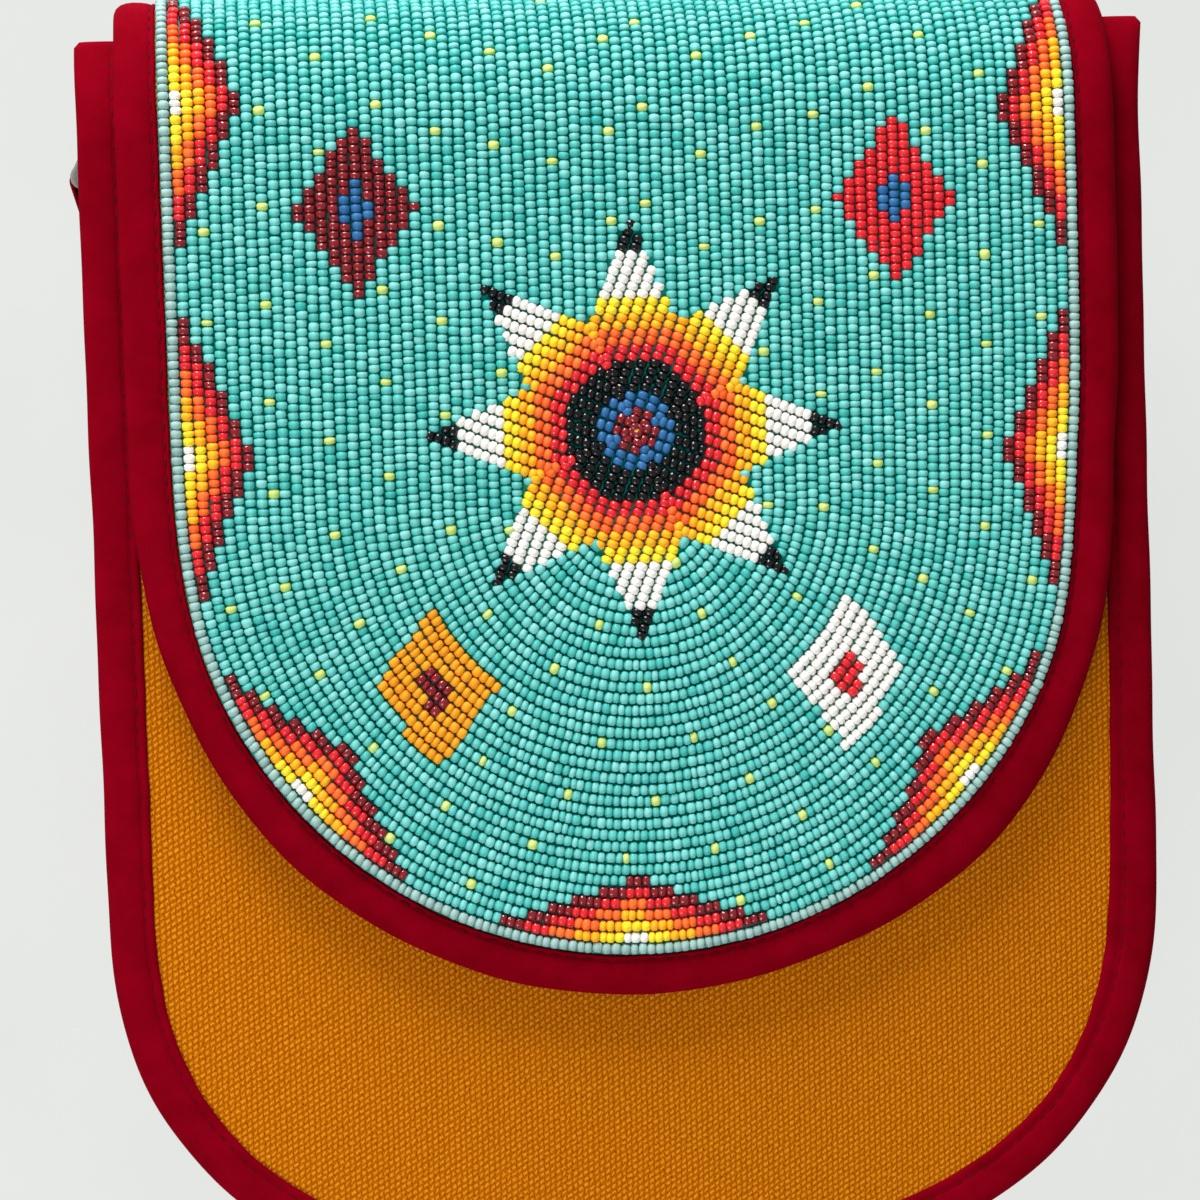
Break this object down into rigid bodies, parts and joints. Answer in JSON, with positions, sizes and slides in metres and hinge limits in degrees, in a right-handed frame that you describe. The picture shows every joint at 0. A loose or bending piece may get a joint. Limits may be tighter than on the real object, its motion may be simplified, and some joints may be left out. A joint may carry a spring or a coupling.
{
  "type": "beaded crossbody bag",
  "caption": "Small canvas crossbody bag with a round bottom, taped edges, side D-rings and a fully beaded flap that folds over its mouth and shuts on a magnetic snap.",
  "frame": {"origin": "middle of the back panel's resting face, halfway up the body", "axes": "+X across the width, +Y up to the fold at the bag's top, +Z out of its front; the bag lies on its back on the plane z = 0"},
  "size_m": [0.1948, 0.2371, 0.0522],
  "materials": {
    "ochre_canvas": "plain-woven heavy cotton duck",
    "crimson_tape": "smooth folded cotton bias tape",
    "lining_cotton": "plain-woven light cotton",
    "glass_beads": "opaque glass seed beads, glossy",
    "nickel": "nickel-plated steel"
  },
  "bodies": {
    "bag": {"back_panel": "ochre_canvas", "front_panel": "ochre_canvas", "gusset": "ochre_canvas", "back_binding": "crimson_tape", "front_binding": "crimson_tape", "lining": "lining_cotton", "snap_socket": "nickel", "snap_socket_washer": "nickel", "ring_tab_left": "crimson_tape", "ring_tab_right": "crimson_tape"},
    "flap": {"flap_panel": "ochre_canvas", "flap_lining": "lining_cotton", "flap_beadwork": "glass_beads", "flap_binding": "crimson_tape", "snap_stud": "nickel", "snap_stud_washer": "nickel"},
    "ring_left": {"d_ring_left": "nickel"},
    "ring_right": {"d_ring_right": "nickel"}
  },
  "joints": [
    {"name": "flap_hinge", "type": "hinge", "parent": "bag", "child": "flap", "pos_m": [0, 0.12099, 0.01334], "axis": [-1, 0, 0], "range_deg": [0, 105]},
    {"name": "ring_left_swing", "type": "hinge", "parent": "bag", "child": "ring_left", "pos_m": [-0.096, 0.096, 0.0224], "axis": [0, 0, 1], "range_deg": [0, 170]},
    {"name": "ring_right_swing", "type": "hinge", "parent": "bag", "child": "ring_right", "pos_m": [0.0924, 0.096, 0.0224], "axis": [0, 0, -1], "range_deg": [0, 170]}
  ]
}
